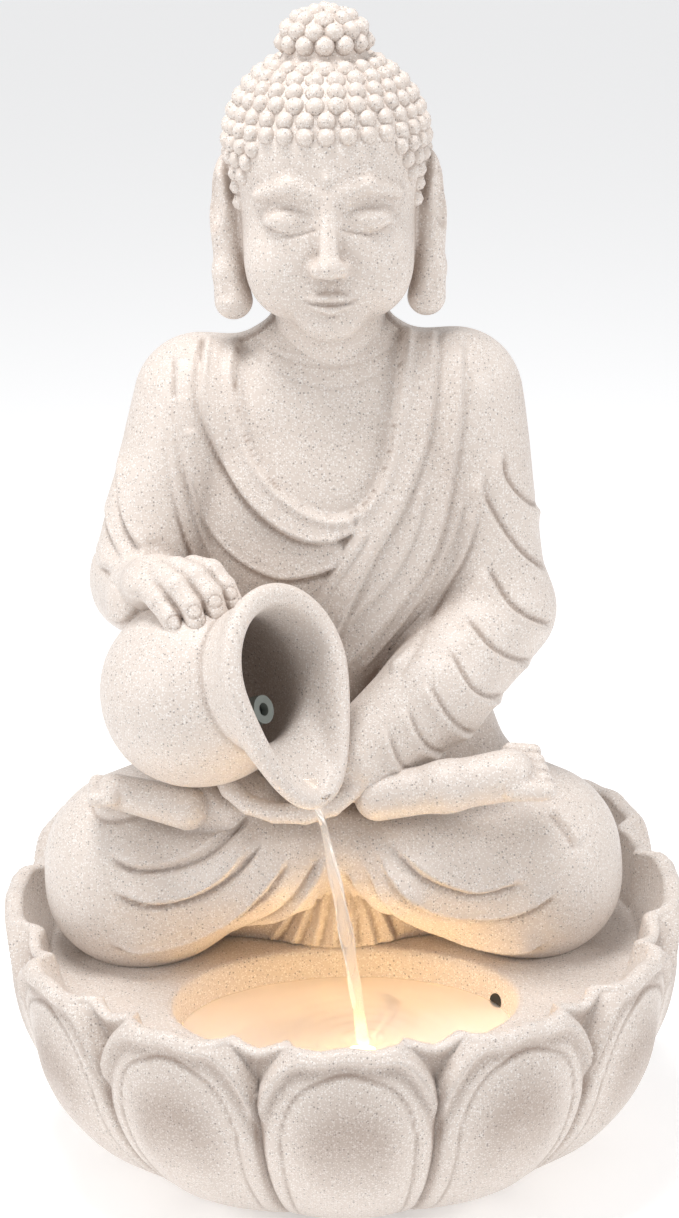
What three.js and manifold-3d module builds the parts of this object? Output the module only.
// Tabletop water fountain: a seated figure with a tilted jug on a lotus basin.
// Millimetres, +Z up, the figure faces -Y, the origin is under the middle of the basin.
import * as THREE from 'three';
import { mergeVertices } from 'three/addons/utils/BufferGeometryUtils.js';
import Module from 'manifold-3d';

const wasm = await Module();
wasm.setup();

// Overall sizes
const BASIN_RADIUS = 156;
const DECK_HEIGHT = 102;
const FIGURE_HEIGHT = 438;
const WALL = 6;
const GAP = 0.3;
const RUNNING_GAP = 0.08;

// The sizes that the shape tables below are written for
const TABLE_RADIUS = 156;
const TABLE_DECK = 102;
const TABLE_FIGURE = 438;

// Lotus basin
const PETALS = 12;
const STEPS_PER_PETAL = 4;
const PETAL_BULGE = 3;
const FRONT_RIM_RISE = 15;
const REAR_RIM_RISE = 41;
const TIP_DROP = 9;
const FOOT_RING_WIDTH = 7;
const DECK_THICKNESS = 6;
const OPENING_HALF_X = 50;
const OPENING_HALF_Y = 40;
const OPENING_Y = 42;

// Pool
const POOL_HALF_X = 80;
const POOL_HALF_Y = 58;
const POOL_CENTRE_Y = -72;
const POOL_DEPTH = 46;
const POOL_FLOOR_SHARE = 0.74;
const RETURN_HOLE_RADIUS = 4;
const RETURN_HOLE_DROP = 16;
const RETURN_HOLE_Y = -50;

// Base pan and pads
const PAD_HEIGHT = 2;
const PAD_RADIUS = 8;
const PAD_CIRCLE = 66;
const PAN_THICKNESS = 6;

// Pump
const PUMP_HALF_X = 21;
const PUMP_HEIGHT = 38;
const PUMP_REAR = 70;
const MOTOR_FRONT = 32;
const VOLUTE_FRONT = 14;
const STRAINER_FRONT = -5;
const PUMP_WALL = 2;
const PUMP_FLOOR = 4;
const CUP_HEIGHT = 5.5;
const CUP_RADIUS = 7;
const ROTOR_RADIUS = 9.5;
const CAN_WALL = 1.5;
const SHAFT_RADIUS = 1.5;
const BUSH_RADIUS = 3.2;
const IMPELLER_RADIUS = 13;
const VANES = 6;
const OUTLET_CLEARANCE = 0.5;
const OUTLET_WALL = 0.8;
const OUTLET_HEIGHT = 14;
const DIAL_RADIUS = 9;
const DIAL_PIN_RADIUS = 2.2;
const CUP_STUD_RADIUS = 1.7;
const CUP_STUD_HEIGHT = 1.8;
const CAN_LENGTH = 23;
const CORE_HALF_X = 17;
const CORE_HALF_Z = 7;
const CORE_LEG = 4;
const CORE_YOKE = 5;
const COIL_HALF_Z = 11;
const VANE_THICKNESS = 1.4;

// Hose, leads and their fittings
const HOSE_RADIUS = 4.8;
const HOSE_WALL = 1.5;
const NOZZLE_RADIUS = 6.5;
const NOZZLE_BORE = 3;
const NOZZLE_LENGTH = 15;
const PUMP_LEAD_RADIUS = 2.3;
const LIGHT_LEAD_RADIUS = 1.7;
const GLAND_RADIUS = 7;
const GLAND_DROP = 20;
const GLAND_LEAD_X = 3.4;
const PUMP_LEAD_X = 8;
const LEAD_HOLE_X = 20;
const LEAD_HOLE_RISE = 12;
const PLUG_WALL = 2;
const HOSE_STEPS = 30;
const HOSE_SIDES = 10;
const LIGHT_LEAD_STEPS = 40;

// Light
const LIGHT_RADIUS = 13.5;
const LIGHT_HEIGHT = 10;
const LIGHT_Y = -93;
const LIGHT_X = 7;
const CHIP_SIDE = 3.4;

// Rear access cover
const COVER_HALF_X = 34;
const COVER_BOTTOM = 14;
const COVER_HEIGHT = 62;
const COVER_STEP = 4;

const planScale = BASIN_RADIUS / TABLE_RADIUS;
const riseScale = FIGURE_HEIGHT / TABLE_FIGURE;
const bowlScale = DECK_HEIGHT / TABLE_DECK;
const castUnder = PAD_HEIGHT + GAP;
const panTop = castUnder + PAN_THICKNESS;
const pumpFloorZ = panTop + GAP + CUP_HEIGHT;
const pumpTopZ = pumpFloorZ + PUMP_HEIGHT;
const shaftZ = pumpFloorZ + PUMP_HEIGHT / 2 + 1;
const poolFloorZ = DECK_HEIGHT - POOL_DEPTH * bowlScale;
const outletRadius = HOSE_RADIUS - HOSE_WALL - OUTLET_CLEARANCE;
const canRadius = ROTOR_RADIUS + 2 * GAP + CAN_WALL;

const stone = paint(0xe8e0d0, 0.55, 0);
const blackPlastic = paint(0x1b1d1e, 0.6, 0);
const greyPlastic = paint(0x6f7a74, 0.5, 0);
const blackRubber = paint(0x161616, 0.9, 0);
const paleSheath = paint(0xc8bda8, 0.7, 0);
const clearPlastic = paint(0xf4f1e4, 0.1, 0);
const hosePlastic = paint(0xcfd6d2, 0.35, 0);
const steel = paint(0xb9bcc0, 0.3, 1);
const copper = paint(0xb06a3a, 0.4, 1);
const ferrite = paint(0x2c2a2b, 0.7, 0);
const boardGreen = paint(0x1f5a38, 0.5, 0);
const chipYellow = paint(0xf2c94a, 0.4, 0);
const foam = paint(0x2a2f33, 1, 0);

const group = new THREE.Group();

function paint(color, roughness, metalness) {
  return new THREE.MeshStandardMaterial({ color, roughness, metalness });
}

// Turns a closed three.js geometry into a solid that faces outwards.
function solidOf(geometry) {
  geometry.deleteAttribute('normal');
  geometry.deleteAttribute('uv');
  const merged = mergeVertices(geometry, 1e-4);
  const corners = merged.index.array;
  const kept = [];
  for (let i = 0; i < corners.length; i += 3) {
    const [a, b, c] = [corners[i], corners[i + 1], corners[i + 2]];
    if (a !== b && b !== c && c !== a) kept.push(a, b, c);
  }
  const points = new Float32Array(merged.attributes.position.array);
  if (signedVolume(points, kept) < 0) kept.reverse();
  const mesh = new wasm.Mesh({ numProp: 3, vertProperties: points, triVerts: new Uint32Array(kept) });
  return new wasm.Manifold(mesh);
}

function signedVolume(points, corners) {
  const at = (i) => new THREE.Vector3().fromArray(points, corners[i] * 3);
  let total = 0;
  for (let i = 0; i < corners.length; i += 3) total += at(i).dot(at(i + 1).cross(at(i + 2)));
  return total;
}

function addPart(name, solid, material) {
  const mesh = solid.getMesh();
  const geometry = new THREE.BufferGeometry();
  geometry.setAttribute('position', new THREE.BufferAttribute(new Float32Array(mesh.vertProperties), 3));
  geometry.setIndex(new THREE.BufferAttribute(new Uint32Array(mesh.triVerts), 1));
  geometry.computeVertexNormals();
  const part = new THREE.Mesh(geometry, material);
  part.name = name;
  group.add(part);
}

function join(first, ...others) {
  return others.reduce((whole, other) => whole.add(other), first);
}

function cut(first, ...others) {
  return others.reduce((whole, other) => whole.subtract(other), first);
}

// Moves every vertex of a geometry by a function that changes the point in place.
function reshape(geometry, move) {
  const spots = geometry.attributes.position;
  const point = new THREE.Vector3();
  for (let i = 0; i < spots.count; i += 1) {
    point.fromBufferAttribute(spots, i);
    move(point);
    spots.setXYZ(i, point.x, point.y, point.z);
  }
  return geometry;
}

function box(x0, x1, y0, y1, z0, z1) {
  const shape = new THREE.BoxGeometry(x1 - x0, y1 - y0, z1 - z0);
  return solidOf(shape.translate((x0 + x1) / 2, (y0 + y1) / 2, (z0 + z1) / 2));
}

// A cylinder from one point to another.
function rod(from, to, radius, sides = 20, endRadius = radius) {
  const start = new THREE.Vector3(...from);
  const along = new THREE.Vector3(...to).sub(start);
  const shape = new THREE.CylinderGeometry(endRadius, radius, along.length(), sides);
  shape.translate(0, along.length() / 2, 0);
  const turn = new THREE.Quaternion().setFromUnitVectors(new THREE.Vector3(0, 1, 0), along.normalize());
  return solidOf(shape.applyQuaternion(turn).translate(...from));
}

function ball(centre, half, turnZ = 0, across = 16, down = 10) {
  const shape = new THREE.SphereGeometry(1, across, down).rotateX(Math.PI / 2);
  return solidOf(shape.scale(...half).rotateZ(turnZ).translate(...centre));
}

// A turned solid about +Z: each profile point is [radius, height].
function turned(profile, sides, move = () => {}) {
  const points = profile.map(([radius, height]) => new THREE.Vector2(radius, height));
  const shape = new THREE.LatheGeometry(points, sides).rotateX(Math.PI / 2);
  return solidOf(reshape(shape, move));
}

// A tapered limb with round ends between two points.
function limb(from, to, radius, endRadius, sides = 10) {
  const start = new THREE.Vector3(...from);
  const along = new THREE.Vector3(...to).sub(start);
  const length = along.length();
  const quarter = [0, 0.33, 0.67, 1].map((share) => share * Math.PI / 2);
  const startCap = quarter.map((turn) => [Math.sin(turn) * radius, -Math.cos(turn) * radius]);
  const endCap = quarter.map((turn) => [Math.cos(turn) * endRadius, length + Math.sin(turn) * endRadius]);
  endCap[endCap.length - 1][0] = 0;
  const points = [...startCap, ...endCap].map(([r, z]) => new THREE.Vector2(r, z));
  const shape = new THREE.LatheGeometry(points, sides);
  const turn = new THREE.Quaternion().setFromUnitVectors(new THREE.Vector3(0, 1, 0), along.normalize());
  return solidOf(shape.applyQuaternion(turn).translate(...from));
}

// An upright body through oval sections, each [height, centre y, half x, half y], grown by extra.
function loft(sections, sides, extra = 0) {
  const last = sections.length - 1;
  const profile = [[0, 0], ...sections.map((_, row) => [1, row]), [0, last]];
  return turned(profile, sides, (point) => {
    const [height, centreY, halfX, halfY] = sections[Math.round(point.z)];
    point.x *= halfX + extra;
    point.y = centreY + point.y * (halfY + extra);
    point.z = height;
  });
}

function routeOf(points) {
  return new THREE.CatmullRomCurve3(points.map((point) => new THREE.Vector3(...point)), false, 'centripetal');
}

// A round tube along a route; bore 0 makes it solid.
function tube(route, radius, bore, steps, sides = 12) {
  const section = new THREE.Shape(circlePoints(radius, sides));
  if (bore > 0) section.holes.push(new THREE.Path(circlePoints(bore, sides)));
  const options = { steps, extrudePath: route, bevelEnabled: false, curveSegments: sides };
  return solidOf(new THREE.ExtrudeGeometry(section, options));
}

function circlePoints(radius, sides) {
  const turns = Array.from({ length: sides }, (_, side) => side * 2 * Math.PI / sides);
  return turns.map((turn) => new THREE.Vector2(radius * Math.cos(turn), radius * Math.sin(turn)));
}

// Places a table point of the figure at the sizes in force.
function place([x, y, z]) {
  return [x * planScale, y * planScale, DECK_HEIGHT + (z - TABLE_DECK) * riseScale];
}

function placeSections(sections) {
  return sections.map(([z, y, halfX, halfY]) => {
    const [, centreY, height] = place([0, y, z]);
    return [height, centreY, halfX * planScale, halfY * planScale];
  });
}

// ---------------------------------------------------------------- lotus basin

// Outside radius of the bowl at each table height, foot to petal bend.
const BOWL = [
  [88, 2.3], [93, 4], [108, 11], [121, 20], [130, 30], [141, 45], [148, 62], [153, 80], [155, 97],
];

function petalShare(turn) {
  const pitch = 2 * Math.PI / PETALS;
  return Math.abs(turn / pitch - Math.round(turn / pitch)) * 2;
}

// The rim is low in front, where the pool is seen over it, and high behind.
function rimHeight(turn) {
  const back = THREE.MathUtils.smoothstep(Math.abs(turn), Math.PI / 3, Math.PI * 0.7);
  const rise = THREE.MathUtils.lerp(FRONT_RIM_RISE, REAR_RIM_RISE, back);
  return DECK_HEIGHT + rise * bowlScale - TIP_DROP * petalShare(turn) ** 2;
}

function bowlProfile() {
  const rows = BOWL.map(([radius, z], row) => [radius, row === 0 ? castUnder : z * bowlScale]);
  return rows.map(([radius, z]) => [radius * planScale, z]);
}

function basinOutside() {
  const bowl = bowlProfile();
  const rows = bowl.length;
  const tip = BASIN_RADIUS + 2 * planScale;
  const rim = [[tip, rows], [tip - WALL, rows + 1], [tip - 2 * WALL, rows + 2], [tip - 3 * WALL, rows + 3]];
  const profile = [[0, 0], ...bowl.map(([radius], row) => [radius, row]), ...rim, [0, rows + 3]];
  return turned(profile, PETALS * STEPS_PER_PETAL, (point) => {
    const row = Math.round(point.z);
    const radius = Math.hypot(point.x, point.y);
    const turn = Math.atan2(point.x, -point.y);
    const fullness = Math.sin(Math.PI * Math.min(row / rows, 1)) * PETAL_BULGE;
    const grow = radius > 1 ? 1 + fullness * (1 - 2 * petalShare(turn)) / radius : 1;
    const rimRise = rimHeight(turn) - DECK_HEIGHT;
    const rimRows = [1, 1, 0.35, 0].map((share) => DECK_HEIGHT + share * rimRise);
    point.x *= grow;
    point.y *= grow;
    point.z = row < rows ? bowl[row][1] : rimRows[row - rows];
  });
}

function basinInside() {
  const floor = castUnder + PAN_THICKNESS + GAP;
  const ceiling = DECK_HEIGHT - DECK_THICKNESS;
  const inner = bowlProfile().slice(3).map(([radius, z]) => [radius - WALL - PETAL_BULGE, z]);
  const rows = inner.filter(([, z]) => z < ceiling);
  const top = rows[rows.length - 1][0];
  const foot = BOWL[0][0] * planScale - FOOT_RING_WIDTH;
  const ledge = foot - 4;
  const under = castUnder - 1;
  const profile = [[0, under], [foot, under], [foot, floor], [ledge, floor], [ledge, floor + 3]];
  return turned([...profile, ...rows, [top, ceiling], [0, ceiling]], 36);
}

function poolBowl(extra, top) {
  const depth = DECK_HEIGHT - poolFloorZ;
  const shares = [[POOL_FLOOR_SHARE - 0.06, 0], [POOL_FLOOR_SHARE, 0.08], [0.93, 0.72], [1, 1]];
  const rows = shares.map(([share, rise]) => [share, poolFloorZ - extra + rise * (depth + extra)]);
  const profile = [[0, rows[0][1]], ...rows, [1, top], [0, top]];
  return turned(profile, 32, (point) => {
    point.x *= POOL_HALF_X * planScale + extra;
    point.y = POOL_CENTRE_Y * planScale + point.y * (POOL_HALF_Y * planScale + extra);
  });
}

function deckOpening() {
  const [, centreY] = place([0, OPENING_Y, 0]);
  const sizes = [OPENING_HALF_X * planScale, OPENING_HALF_Y * planScale];
  const drum = [[0, DECK_HEIGHT - 20], [1, DECK_HEIGHT - 20], [1, DECK_HEIGHT + 1], [0, DECK_HEIGHT + 1]];
  return turned(drum, 32, (point) => {
    point.x *= sizes[0];
    point.y = centreY + point.y * sizes[1];
  });
}

const glandZ = DECK_HEIGHT - GLAND_DROP * bowlScale;
const glandOuterY = 153 * planScale + 4;
const returnZ = DECK_HEIGHT - RETURN_HOLE_DROP;
const leadHoleY = (POOL_CENTRE_Y + POOL_HALF_Y * 0.88) * planScale;
const leadHoleZ = poolFloorZ + LEAD_HOLE_RISE;

function makeBasin() {
  const shell = basinOutside().subtract(basinInside()).add(poolBowl(WALL, DECK_HEIGHT - 1));
  const returnStart = [POOL_HALF_X * planScale * 0.5, RETURN_HOLE_Y * planScale, returnZ];
  const returnEnd = [POOL_HALF_X * planScale + 20, RETURN_HOLE_Y * planScale, returnZ];
  const returnHole = rod(returnStart, returnEnd, RETURN_HOLE_RADIUS, 16);
  const glandHole = rod([0, glandOuterY - 20, glandZ], [0, glandOuterY + 20, glandZ], GLAND_RADIUS + GAP, 24);
  const plugStart = [LEAD_HOLE_X, leadHoleY - 20, leadHoleZ];
  const plugRadius = LIGHT_LEAD_RADIUS + PLUG_WALL + GAP;
  const plugHole = rod(plugStart, [LEAD_HOLE_X, leadHoleY + 20, leadHoleZ], plugRadius, 16);
  return cut(shell, poolBowl(0, DECK_HEIGHT + 5), deckOpening(), returnHole, glandHole, plugHole);
}

function makePanAndPads() {
  const radius = BOWL[0][0] * planScale - FOOT_RING_WIDTH - GAP;
  const pan = [[0, castUnder], [radius, castUnder], [radius, panTop], [0, panTop]];
  addPart('base_pan', turned(pan, 36), stone);
  for (let pad = 0; pad < 4; pad += 1) {
    const turn = (pad + 0.5) * Math.PI / 2;
    const centre = [Math.cos(turn) * PAD_CIRCLE * planScale, Math.sin(turn) * PAD_CIRCLE * planScale];
    addPart(`foot_pad_${pad + 1}`, rod([...centre, 0], [...centre, PAD_HEIGHT], PAD_RADIUS), blackRubber);
  }
}

// ------------------------------------------------------------------------ jug

const JUG_CENTRE = [-65, -40, 241];
const jugAxis = new THREE.Vector3(0.751, -0.566, 0.342).normalize();
const jugDown = new THREE.Vector3(0, 0, -1).addScaledVector(jugAxis, jugAxis.z).normalize();
const jugSide = new THREE.Vector3().crossVectors(jugAxis, jugDown);
const JUG_OUTSIDE = [
  [0, -42], [19, -38], [33, -28], [41, -12], [43, 4], [39, 20], [32, 31], [28, 38], [30, 46], [36, 54],
];
const JUG_INSIDE = [
  [31.5, 55], [25, 46], [22.5, 38], [26, 31], [33, 20], [37, 4], [35, -12], [27, -25], [14, -33], [0, -36],
];
const JUG_NECK_BORE = 22.5;
const LIP_REACH = 24;
const LIP_START = 38;
const LIP_END = 54;

// Sets jug coordinates (side, down, along) at the jug's place on the lap.
function jugPoint(side, down, along) {
  const shift = new THREE.Vector3().addScaledVector(jugSide, side);
  shift.addScaledVector(jugDown, down).addScaledVector(jugAxis, along);
  const [x, y, z] = JUG_CENTRE;
  return place([x + shift.x, y + shift.y, z + shift.z]);
}

function jugSolid(profile, extra) {
  return turned(profile, 24, (point) => {
    const radius = Math.hypot(point.x, point.y);
    const downward = radius > 1 ? Math.max(point.y / radius, 0) ** 3 : 0;
    const flare = THREE.MathUtils.smoothstep(point.z, LIP_START, LIP_END + 2);
    const stretch = radius > 1 ? 1 + (LIP_REACH * flare * downward + extra) / radius : 1;
    point.fromArray(jugPoint(point.x * stretch, point.y * stretch, point.z + extra * point.z / LIP_END));
  });
}

function jugFilled(extra) {
  return jugSolid([...JUG_OUTSIDE, [0, LIP_END]], extra);
}

const NOZZLE_START = 22;
const nozzleDrop = JUG_NECK_BORE - NOZZLE_RADIUS - 2;

function nozzleRod(start, end, radius, sides = 20) {
  return rod(jugPoint(0, nozzleDrop, start), jugPoint(0, nozzleDrop, end), radius, sides);
}

function makeNozzle() {
  const end = NOZZLE_START + NOZZLE_LENGTH;
  const bore = nozzleRod(NOZZLE_START - 1, end + 1, NOZZLE_BORE);
  const socket = nozzleRod(NOZZLE_START - 1, end - 4, HOSE_RADIUS + 2 * GAP);
  return cut(nozzleRod(NOZZLE_START, end, NOZZLE_RADIUS), bore, socket);
}

const outletTop = pumpTopZ + OUTLET_HEIGHT;
const outletY = (VOLUTE_FRONT + MOTOR_FRONT) / 2;
const hoseRoute = routeOf([
  [0, outletY, pumpTopZ + 3],
  [0, outletY, outletTop + 4],
  place([-6, 28, 118]),
  place([-36, 4, 152]),
  place([-58, -16, 182]),
  place([-66, -30, 202]),
  place([-64, -43, 220]),
  jugPoint(0, nozzleDrop, NOZZLE_START - 6),
  jugPoint(0, nozzleDrop, NOZZLE_START + 9),
]);

function makeJug() {
  const vessel = jugSolid([...JUG_OUTSIDE, ...JUG_INSIDE], 0);
  const hoseHole = tube(hoseRoute, HOSE_RADIUS + 2 * GAP, 0, HOSE_STEPS, HOSE_SIDES);
  const nozzleHole = nozzleRod(NOZZLE_START - 1, NOZZLE_START + NOZZLE_LENGTH + 1, NOZZLE_RADIUS + GAP);
  return cut(vessel, hoseHole, nozzleHole);
}

// --------------------------------------------------------------------- figure

const TORSO = [
  [102.3, 41, 96, 51], [118, 41, 104, 53], [140, 41, 104, 52], [165, 40, 92, 49], [190, 38, 78, 46],
  [230, 36, 68, 43], [270, 34, 70, 42], [310, 35, 78, 42], [340, 37, 83, 41], [360, 39, 80, 38],
  [376, 40, 68, 33], [387, 40, 50, 29],
];
const HEAD = [
  [372, 38, 27, 25], [390, 36, 27, 25], [397, 30, 32, 32], [410, 28, 39, 39], [430, 29, 43, 44],
  [455, 31, 48, 48], [480, 32, 50, 49], [498, 33, 45, 45], [512, 33, 33, 34], [520, 33, 24, 24],
  [530, 33, 19, 19], [537, 33, 11, 11], [540, 33, 4, 4],
];
const NECK_ROWS = 2;

function grown(sections, less) {
  return placeSections(sections).map(([z, y, halfX, halfY]) => [z, y, halfX - less, halfY - less]);
}

function torsoOutside(less) {
  return loft(grown(TORSO, less), 24);
}

function limbsOutside() {
  const size = planScale;
  return [
    limb(place([-66, 40, 357]), place([-88, 24, 286]), 30 * size, 25 * size),
    limb(place([66, 40, 357]), place([77, 22, 264]), 30 * size, 26 * size),
    limb(place([-88, 20, 284]), place([-84, -26, 284]), 23 * size, 13 * size),
    limb(place([76, 20, 258]), place([18, -36, 228]), 25 * size, 18 * size),
    ball(place([-76, -40, 283]), [22 * size, 20 * size, 10 * riseScale], 0.3),
    ball(place([-84, -4, 146]), [60 * size, 55 * size, 43 * riseScale], 0.35, 20, 12),
    ball(place([80, -4, 146]), [55 * size, 55 * size, 43 * riseScale], -0.35, 20, 12),
    ball(place([0, -18, 160]), [70 * size, 44 * size, 34 * riseScale], 0, 20, 10),
    limb(place([18, -46, 194]), place([78, -50, 200]), 13 * size, 10 * size),
    ball(place([-56, -26, 178]), [40 * size, 34 * size, 27 * riseScale], 0, 14, 10),
    ball(place([0, 40, 352]), [88 * size, 37 * size, 35 * riseScale], 0, 20, 10),
  ];
}

function legsInside() {
  const size = planScale;
  return [
    ball(place([-80, -2, 142]), [54 * size - WALL, 48 * size - WALL, 40 * riseScale - WALL], 0.35),
    ball(place([76, -2, 142]), [50 * size - WALL, 48 * size - WALL, 40 * riseScale - WALL], -0.35),
    loft(grown(TORSO, WALL).map(([z, ...rest], row) => [row === 0 ? z - 1 : z, ...rest]), 20),
  ];
}

// The cover's outline, cut through the back wall; inset steps it in for the rebate.
function coverBlock(inset, spread) {
  const bottom = DECK_HEIGHT + COVER_BOTTOM * riseScale;
  const half = COVER_HALF_X * planScale - inset + spread;
  const low = bottom + inset - spread;
  const high = bottom + COVER_HEIGHT * riseScale - inset + spread;
  return box(-half, half, 60 * planScale, 130 * planScale, low, high);
}

// The outer half of the back wall is cut wide and the inner half narrow, so the cover has a seat.
function makeCover() {
  const outside = torsoOutside(0);
  const outer = coverBlock(0, 0).intersect(outside).subtract(torsoOutside(WALL / 2));
  const inner = coverBlock(COVER_STEP, 0).intersect(torsoOutside(WALL / 4)).subtract(torsoOutside(WALL));
  return outer.add(inner);
}

function makeFigure() {
  const above = box(-300, 300, -300, 300, DECK_HEIGHT + GAP, DECK_HEIGHT + 2 * FIGURE_HEIGHT);
  const outside = join(torsoOutside(0), ...limbsOutside()).intersect(above);
  const neckHole = loft(grown(HEAD.slice(0, NECK_ROWS + 1), -GAP), 24);
  const passage = tube(hoseRoute, HOSE_RADIUS + 3, 0, HOSE_STEPS, HOSE_SIDES);
  const jugSeat = jugFilled(GAP);
  const coverRoom = coverBlock(0, GAP).intersect(torsoOutside(-20)).subtract(torsoOutside(WALL / 2 + GAP));
  const handRoom = coverBlock(COVER_STEP, GAP).subtract(torsoOutside(WALL * 3));
  const hollow = join(...legsInside());
  return cut(outside, hollow, neckHole, passage, jugSeat, coverRoom, handRoom);
}

function makeHead() {
  const size = planScale;
  const outside = loft(placeSections(HEAD), 20);
  const earHalf = [6 * size, 10 * size, 37 * riseScale];
  const ears = [-1, 1].map((side) => ball(place([side * 46, 30, 436]), earHalf));
  const nose = ball(place([0, -14, 436]), [5 * size, 6 * size, 13 * riseScale], 0, 12, 8);
  const inside = grown(HEAD.slice(0, 9), WALL).map(([z, ...rest], row) => [row === 0 ? z - 1 : z, ...rest]);
  return join(outside, ...ears, nose).subtract(loft(inside, 16));
}

// ----------------------------------------------------------------------- pump

function along(y0, y1, radius, sides = 20) {
  return rod([0, y0, shaftZ], [0, y1, shaftZ], radius, sides);
}

function pumpBox(y0, y1, inset, floor = inset) {
  const half = PUMP_HALF_X - inset;
  return box(-half, half, y0, y1, pumpFloorZ + floor, pumpTopZ - inset);
}

const canEnd = MOTOR_FRONT + CAN_LENGTH;
const coreRear = canEnd + 8;

function cupSpots() {
  const half = PUMP_HALF_X - CUP_RADIUS;
  const [front, rear] = [MOTOR_FRONT + CUP_RADIUS + 1, PUMP_REAR - CUP_RADIUS];
  return [[-half, front], [half, front], [-half, rear], [half, rear]];
}

function makeHousing() {
  const can = along(MOTOR_FRONT, canEnd, canRadius, 24);
  const cavity = pumpBox(MOTOR_FRONT + PUMP_WALL, PUMP_REAR + 1, PUMP_WALL, PUMP_FLOOR);
  const bore = along(MOTOR_FRONT - 1, canEnd - CAN_WALL, ROTOR_RADIUS + 2 * GAP, 24);
  const studTop = pumpFloorZ + CUP_STUD_HEIGHT + GAP;
  const stubs = cupSpots().map(([x, y]) => (
    rod([x, y, pumpFloorZ - 1], [x, y, studTop], CUP_STUD_RADIUS + GAP, 12)));
  const body = pumpBox(MOTOR_FRONT, PUMP_REAR, 0).subtract(cavity.subtract(can));
  return cut(body, bore, ...stubs);
}

function makeVolute() {
  const rear = MOTOR_FRONT - GAP;
  const body = pumpBox(VOLUTE_FRONT, rear, 0);
  const outlet = rod([0, outletY, pumpTopZ - 1], [0, outletY, outletTop], outletRadius, 16);
  const barb = rod([0, outletY, pumpTopZ - 3], [0, outletY, outletTop + 1], outletRadius - OUTLET_WALL, 12);
  const chamber = along(VOLUTE_FRONT + 3, rear + 1, IMPELLER_RADIUS + 2, 24);
  const seat = along(VOLUTE_FRONT + 1, VOLUTE_FRONT + 4, BUSH_RADIUS + GAP, 16);
  const ports = [0, 1, 2, 3].map((port) => {
    const turn = (port + 0.5) * Math.PI / 2;
    const spot = [Math.cos(turn) * 8, shaftZ + Math.sin(turn) * 8];
    return rod([spot[0], VOLUTE_FRONT - 1, spot[1]], [spot[0], VOLUTE_FRONT + 4, spot[1]], 3, 12);
  });
  return cut(body.add(outlet), chamber, seat, barb, ...ports);
}

function makeStrainer() {
  const rear = VOLUTE_FRONT - GAP;
  const front = STRAINER_FRONT;
  const shell = pumpBox(front, rear, 0).subtract(pumpBox(front + PUMP_WALL, rear + 1, PUMP_WALL));
  const pinHole = along(front - 1, front + PUMP_WALL + 1, DIAL_PIN_RADIUS + GAP, 16);
  const slots = [-16, -12, 12, 16].map((x) => (
    box(x - 1, x + 1, front - 5, front + PUMP_WALL + 1, pumpFloorZ + 6, pumpTopZ - 6)));
  const wide = 2 * PUMP_HALF_X;
  const sideSlots = [6, 10, 14].map((step) => (
    box(-wide, wide, front + step - 1, front + step + 1, pumpFloorZ + 8, pumpTopZ - 8)));
  return cut(shell, pinHole, ...slots, ...sideSlots);
}

function makeDial() {
  const front = STRAINER_FRONT - GAP;
  const face = along(front - 2, front, DIAL_RADIUS, 24);
  const pin = along(front - 1, STRAINER_FRONT + PUMP_WALL + 2, DIAL_PIN_RADIUS, 16);
  const grip = box(-DIAL_RADIUS + 1, DIAL_RADIUS - 1, front - 4, front - 1, shaftZ - 1.2, shaftZ + 1.2);
  return join(face, pin, grip);
}

function makeImpeller() {
  const front = VOLUTE_FRONT + 5;
  const disc = along(front + 7, front + 9, IMPELLER_RADIUS - 1, 24);
  const hub = along(front, front + 9, 4, 16);
  const vanes = Array.from({ length: VANES }, (_, vane) => {
    const shape = new THREE.BoxGeometry(IMPELLER_RADIUS - 2, 8, VANE_THICKNESS);
    shape.translate(IMPELLER_RADIUS / 2 + 1, front + 4, 0);
    return solidOf(shape.rotateY(vane * 2 * Math.PI / VANES).translate(0, 0, shaftZ));
  });
  return join(disc, hub, ...vanes).subtract(along(front - 1, front + 10, SHAFT_RADIUS + RUNNING_GAP, 16));
}

function makeRotor() {
  const front = VOLUTE_FRONT + 14 + GAP;
  const bore = along(front - 1, canEnd, SHAFT_RADIUS + RUNNING_GAP, 16);
  return along(front, canEnd - 6, ROTOR_RADIUS, 24).subtract(bore);
}

function makeCore() {
  const half = CORE_HALF_X;
  const halfZ = CORE_HALF_Z;
  const block = box(-half, half, MOTOR_FRONT + 5, coreRear, shaftZ - halfZ, shaftZ + halfZ);
  const inner = half - CORE_LEG;
  const slotHalfZ = halfZ + 1;
  const slotRear = coreRear - CORE_YOKE;
  const slot = box(-inner, inner, MOTOR_FRONT + 4, slotRear, shaftZ - slotHalfZ, shaftZ + slotHalfZ);
  return block.subtract(slot);
}

function makeCoil() {
  const half = CORE_HALF_X - CORE_LEG - 1;
  const halfZ = CORE_HALF_Z + GAP;
  const winding = box(-half, half, canEnd + GAP, coreRear + 3, shaftZ - COIL_HALF_Z, shaftZ + COIL_HALF_Z);
  const front = coreRear - CORE_YOKE - GAP;
  const yoke = box(-half - 1, half + 1, front, coreRear + GAP, shaftZ - halfZ, shaftZ + halfZ);
  return winding.subtract(yoke);
}

function makeMotorCap() {
  const half = PUMP_HALF_X - PUMP_WALL - GAP;
  const low = pumpFloorZ + PUMP_FLOOR + GAP;
  const cap = box(-half, half, PUMP_REAR - 3, PUMP_REAR, low, pumpTopZ - PUMP_WALL - GAP);
  const holeStart = [PUMP_LEAD_X, PUMP_REAR - 4, shaftZ];
  const hole = rod(holeStart, [PUMP_LEAD_X, PUMP_REAR + 1, shaftZ], PUMP_LEAD_RADIUS + GAP, 12);
  return cap.subtract(hole);
}

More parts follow.
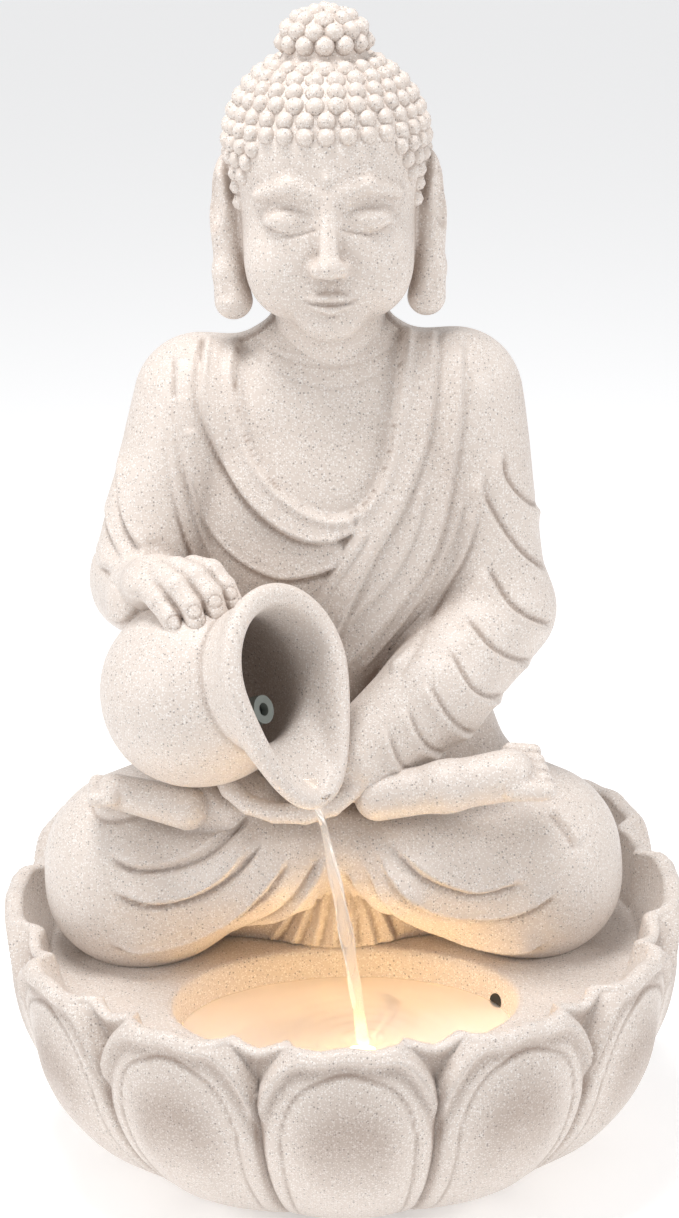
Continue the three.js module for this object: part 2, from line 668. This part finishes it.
function makeSuctionCup(x, y) {
  const low = panTop + GAP;
  const top = pumpFloorZ - GAP;
  const under = [[0, low + 1.6], [4, low + 1.2], [CUP_RADIUS - 1, low], [CUP_RADIUS, low]];
  const neck = [[2.4, low + 3], [2.4, top], [CUP_STUD_RADIUS, top], [CUP_STUD_RADIUS, top + CUP_STUD_HEIGHT]];
  const profile = [...under, ...neck, [0, top + CUP_STUD_HEIGHT]];
  return turned(profile, 12).translate(x, y, 0);
}

function makePump() {
  addPart('pump_housing', makeHousing(), blackPlastic);
  addPart('pump_volute_cover', makeVolute(), blackPlastic);
  addPart('pump_strainer', makeStrainer(), blackPlastic);
  addPart('flow_regulator', makeDial(), greyPlastic);
  addPart('filter_sponge', pumpBox(STRAINER_FRONT + 6, VOLUTE_FRONT - 2, PUMP_WALL + 1), foam);
  addPart('impeller', makeImpeller(), greyPlastic);
  addPart('rotor_magnet', makeRotor(), ferrite);
  addPart('impeller_shaft', along(VOLUTE_FRONT + 2.5, canEnd - 2, SHAFT_RADIUS, 12), steel);
  const frontBush = along(VOLUTE_FRONT + 1 + GAP, VOLUTE_FRONT + 4.5, BUSH_RADIUS, 16);
  const frontBore = along(VOLUTE_FRONT + 2.2, VOLUTE_FRONT + 6, SHAFT_RADIUS + GAP, 12);
  addPart('shaft_bush_front', frontBush.subtract(frontBore), blackRubber);
  const rearBush = along(canEnd - 5.5, canEnd - CAN_WALL - GAP, ROTOR_RADIUS, 24);
  const rearBore = along(canEnd - 7, canEnd - 1.9, SHAFT_RADIUS + GAP, 12);
  addPart('shaft_bush_rear', rearBush.subtract(rearBore), blackRubber);
  addPart('stator_core', makeCore(), steel);
  addPart('stator_coil', makeCoil(), copper);
  addPart('motor_end_cap', makeMotorCap(), blackPlastic);
  cupSpots().forEach(([x, y], cup) => addPart(`suction_cup_${cup + 1}`, makeSuctionCup(x, y), blackRubber));
}

// ---------------------------------------------------------------------- light

const lightX = LIGHT_X * planScale;
const lightY = LIGHT_Y * planScale;
const lightZ = poolFloorZ + GAP;
const lightLeadZ = lightZ + 3.3;

function disc(z0, z1, radius, sides = 28) {
  return rod([lightX, lightY, lightZ + z0], [lightX, lightY, lightZ + z1], radius, sides);
}

function makeLight() {
  const cup = disc(0, LIGHT_HEIGHT, LIGHT_RADIUS);
  const leadStart = [lightX, lightY, lightLeadZ];
  const leadHole = rod(leadStart, [lightX, lightY + 20, lightLeadZ], LIGHT_LEAD_RADIUS + GAP, 10);
  const hollow = [disc(2, 5, LIGHT_RADIUS - 3.5), disc(5, LIGHT_HEIGHT + 1, LIGHT_RADIUS - 2)];
  addPart('light_housing', cut(cup, ...hollow, leadHole), greyPlastic);
  addPart('light_board', disc(5 + GAP, 6.6, LIGHT_RADIUS - 2.5), boardGreen);
  for (let chip = 0; chip < 3; chip += 1) {
    const turn = chip * 2 * Math.PI / 3;
    const [x, y] = [lightX + 5 * Math.cos(turn), lightY + 5 * Math.sin(turn)];
    const low = lightZ + 6.6 + GAP;
    const half = CHIP_SIDE / 2;
    addPart(`light_chip_${chip + 1}`, box(x - half, x + half, y - half, y + half, low, low + 1), chipYellow);
  }
  const ring = disc(6.9, 8.2, LIGHT_RADIUS - 2.5).subtract(disc(6, 9, LIGHT_RADIUS - 4.5));
  addPart('light_gasket', ring, blackRubber);
  const flange = disc(8.5, LIGHT_HEIGHT, LIGHT_RADIUS - 2.5);
  const dome = disc(LIGHT_HEIGHT - 0.5, LIGHT_HEIGHT + 2, LIGHT_RADIUS - 3);
  addPart('light_lens', flange.add(dome), clearPlastic);
}

// --------------------------------------------------------------- hose and leads

function makeLeads() {
  const hose = tube(hoseRoute, HOSE_RADIUS, HOSE_RADIUS - HOSE_WALL, HOSE_STEPS, HOSE_SIDES);
  addPart('riser_hose', hose, hosePlastic);
  const glandIn = glandOuterY - 14;
  const pumpLead = routeOf([
    [PUMP_LEAD_X, PUMP_REAR - 2.5, shaftZ],
    [PUMP_LEAD_X, PUMP_REAR + 6, shaftZ],
    [GLAND_LEAD_X, (PUMP_REAR + glandIn) / 2, (shaftZ + glandZ) / 2],
    [GLAND_LEAD_X, glandIn - 12, glandZ],
    [GLAND_LEAD_X, glandIn - 2, glandZ],
    [GLAND_LEAD_X, glandOuterY, glandZ],
  ]);
  addPart('pump_lead', tube(pumpLead, PUMP_LEAD_RADIUS, 0, 20, 8), blackRubber);
  const lightLead = routeOf([
    [lightX, lightY + LIGHT_RADIUS - 3, lightLeadZ],
    [lightX, lightY + LIGHT_RADIUS + 5, lightLeadZ],
    [LEAD_HOLE_X, leadHoleY - 16, leadHoleZ],
    [LEAD_HOLE_X, leadHoleY + 14, leadHoleZ],
    [PUMP_HALF_X + 9, PUMP_REAR / 3, pumpTopZ],
    [PUMP_HALF_X + 9, PUMP_REAR, pumpTopZ + 12],
    [-GLAND_LEAD_X, glandIn - 12, glandZ],
    [-GLAND_LEAD_X, glandIn - 2, glandZ],
    [-GLAND_LEAD_X, glandOuterY, glandZ],
  ]);
  addPart('light_lead', tube(lightLead, LIGHT_LEAD_RADIUS, 0, LIGHT_LEAD_STEPS, 6), paleSheath);
  const plugStart = [LEAD_HOLE_X, leadHoleY - 5, leadHoleZ];
  const plug = rod(plugStart, [LEAD_HOLE_X, leadHoleY + 7, leadHoleZ], LIGHT_LEAD_RADIUS + PLUG_WALL, 16);
  const leadRoom = tube(lightLead, LIGHT_LEAD_RADIUS + GAP, 0, LIGHT_LEAD_STEPS, 6);
  addPart('light_lead_grommet', plug.subtract(leadRoom), blackRubber);
  const gland = rod([0, glandIn, glandZ], [0, glandOuterY, glandZ], GLAND_RADIUS, 24);
  const holes = [[GLAND_LEAD_X, PUMP_LEAD_RADIUS], [-GLAND_LEAD_X, LIGHT_LEAD_RADIUS]].map(([x, radius]) => (
    rod([x, glandIn - 9, glandZ], [x, glandOuterY + 1, glandZ], radius + GAP, 12)));
  addPart('cable_grommet', cut(gland, ...holes), blackRubber);
}

addPart('lotus_basin', makeBasin(), stone);
makePanAndPads();
addPart('figure_body', makeFigure(), stone);
addPart('figure_head', makeHead(), stone);
addPart('rear_access_cover', makeCover(), stone);
addPart('jug', makeJug(), stone);
addPart('jug_nozzle', makeNozzle(), greyPlastic);
makePump();
makeLight();
makeLeads();

export default group;
